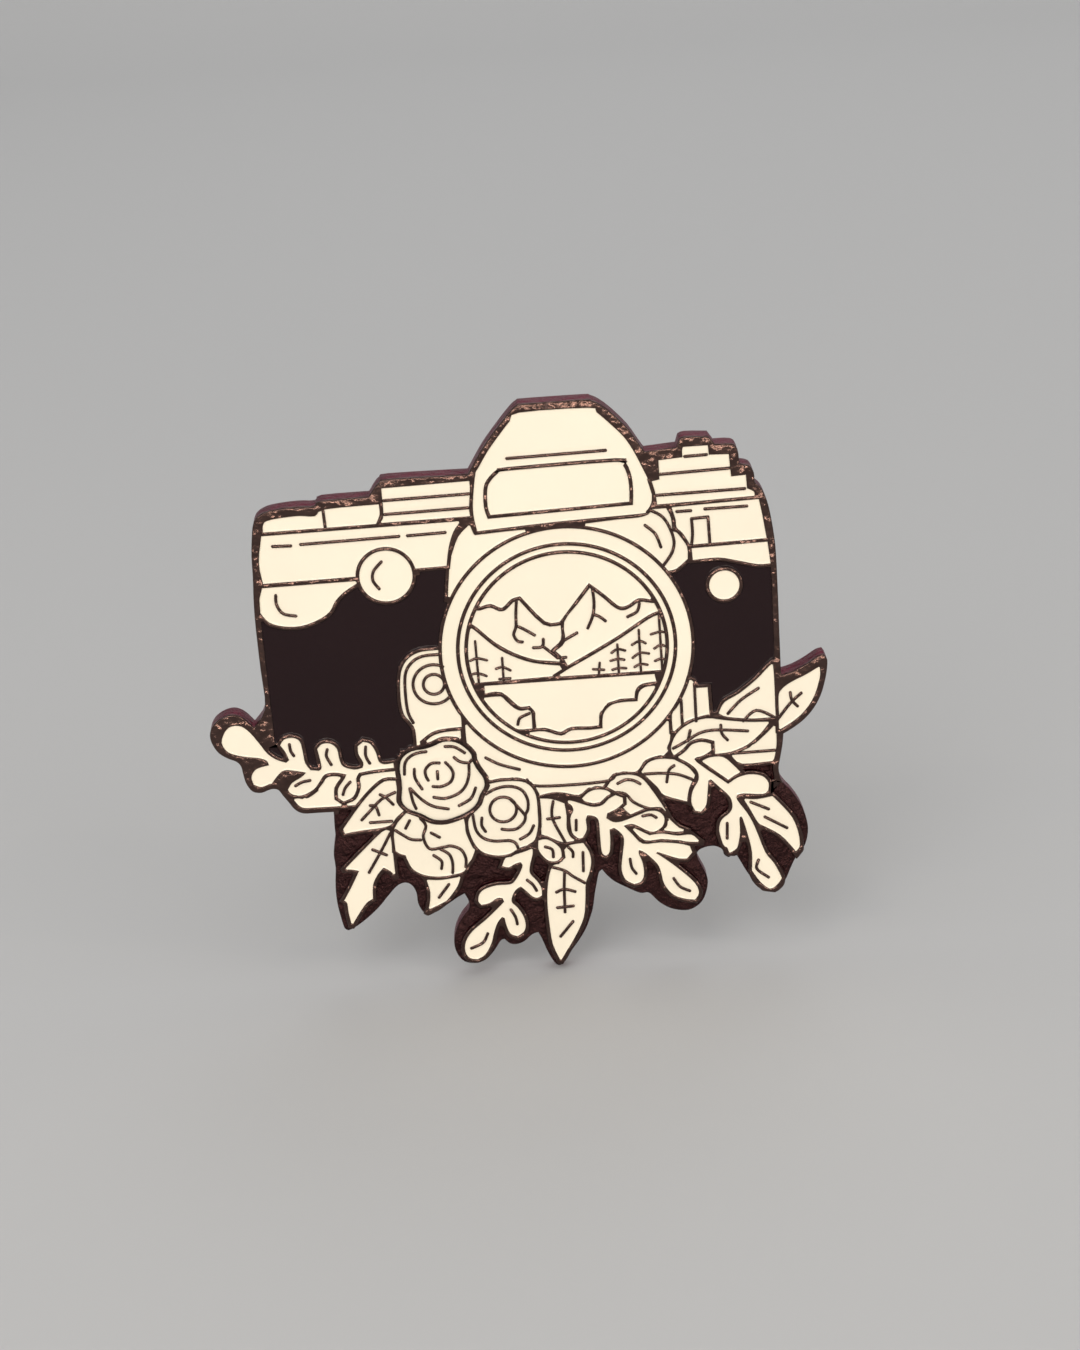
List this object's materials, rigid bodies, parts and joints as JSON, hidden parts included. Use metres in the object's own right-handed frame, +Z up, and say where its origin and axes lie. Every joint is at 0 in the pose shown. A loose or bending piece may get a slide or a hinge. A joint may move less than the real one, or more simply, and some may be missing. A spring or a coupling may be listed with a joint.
{
  "type": "enamel lapel pin",
  "caption": "Soft-enamel lapel pin shaped as a film camera over roses and leaves, with a mountain lake in the lens, two posts and butterfly clutches.",
  "frame": {"origin": "on the plate's back face, behind the centre of the camera's lens", "axes": "+X to the viewer's right, +Z up the picture, +Y out of the back, so the picture faces -Y"},
  "size_m": [0.045, 0.0108, 0.0434],
  "materials": {
    "struck_metal": "polished dark nickel plate on the raised lines, dull and rough in the struck recesses",
    "post_steel": "bright nickel plate",
    "clutch_nickel": "bright nickel plate over thin sheet",
    "cream_enamel": "glossy soft enamel, slightly dished below the lines",
    "black_enamel": "glossy soft enamel, slightly dished below the lines"
  },
  "bodies": {
    "body": {"base_plate": "struck_metal", "enamel_base": "cream_enamel", "enamel_blade_leaf": "cream_enamel", "enamel_branch_centre": "cream_enamel", "enamel_branch_left": "cream_enamel", "enamel_branch_low": "cream_enamel", "enamel_branch_right": "cream_enamel", "enamel_bush_left": "cream_enamel", "enamel_bush_right": "cream_enamel", "enamel_button": "cream_enamel", "enamel_cover_left": "cream_enamel", "enamel_cover_lip": "cream_enamel", "enamel_cover_right": "cream_enamel", "enamel_dial_left": "cream_enamel", "enamel_dial_right": "cream_enamel", "enamel_foot_left": "cream_enamel", "enamel_foot_right": "cream_enamel", "enamel_grip_left": "black_enamel", "enamel_grip_lobe": "cream_enamel", "enamel_grip_right": "black_enamel", "enamel_hill_left": "cream_enamel", "enamel_hill_right": "cream_enamel", "enamel_lake": "cream_enamel", "enamel_leaf_centre": "cream_enamel", "enamel_leaf_far_right": "cream_enamel", "enamel_leaf_holly": "cream_enamel", "enamel_leaf_hook": "cream_enamel", "enamel_leaf_long": "cream_enamel", "enamel_leaf_low_right": "cream_enamel", "enamel_leaf_round": "cream_enamel", "enamel_leaf_spear": "cream_enamel", "enamel_leaf_upper_left": "cream_enamel", "enamel_leaf_veined": "cream_enamel", "enamel_lens_rim": "cream_enamel", "enamel_lens_ring": "cream_enamel", "enamel_lever": "cream_enamel", "enamel_mount_left": "cream_enamel", "enamel_mount_right": "cream_enamel", "enamel_mountain_left": "cream_enamel", "enamel_mountain_right": "cream_enamel", "enamel_petal_right": "cream_enamel", "enamel_petals_left": "cream_enamel", "enamel_prism": "cream_enamel", "enamel_prism_window": "cream_enamel", "enamel_rewind_knob": "cream_enamel", "enamel_rose_large": "cream_enamel", "enamel_rose_small": "cream_enamel", "enamel_sky": "cream_enamel", "enamel_winder": "cream_enamel", "post_left": "post_steel", "post_right": "post_steel"},
    "clutch_left": {"clutch_cup_left": "clutch_nickel", "clutch_spring_left": "clutch_nickel"},
    "wing_upper_left": {"clutch_wing_upper_left": "clutch_nickel"},
    "wing_lower_left": {"clutch_wing_lower_left": "clutch_nickel"},
    "clutch_right": {"clutch_cup_right": "clutch_nickel", "clutch_spring_right": "clutch_nickel"},
    "wing_upper_right": {"clutch_wing_upper_right": "clutch_nickel"},
    "wing_lower_right": {"clutch_wing_lower_right": "clutch_nickel"}
  },
  "joints": [
    {"name": "clutch_slide_left", "type": "slide", "parent": "body", "child": "clutch_left", "axis": [0, 1, 0], "range_m": [-0.0006, 0.008]},
    {"name": "wing_upper_pinch_left", "type": "hinge", "parent": "clutch_left", "child": "wing_upper_left", "pos_m": [-0.013, 0.00298, 0.0042], "axis": [-1, 0, 0], "range_deg": [0, 12], "stiffness_Nm_per_rad": 0.02},
    {"name": "wing_lower_pinch_left", "type": "hinge", "parent": "clutch_left", "child": "wing_lower_left", "pos_m": [-0.013, 0.00298, -0.0002], "axis": [1, 0, 0], "range_deg": [0, 12], "stiffness_Nm_per_rad": 0.02},
    {"name": "clutch_slide_right", "type": "slide", "parent": "body", "child": "clutch_right", "axis": [0, 1, 0], "range_m": [-0.0006, 0.008]},
    {"name": "wing_upper_pinch_right", "type": "hinge", "parent": "clutch_right", "child": "wing_upper_right", "pos_m": [0.006, 0.00298, 0.0042], "axis": [-1, 0, 0], "range_deg": [0, 12], "stiffness_Nm_per_rad": 0.02},
    {"name": "wing_lower_pinch_right", "type": "hinge", "parent": "clutch_right", "child": "wing_lower_right", "pos_m": [0.006, 0.00298, -0.0002], "axis": [1, 0, 0], "range_deg": [0, 12], "stiffness_Nm_per_rad": 0.02}
  ]
}
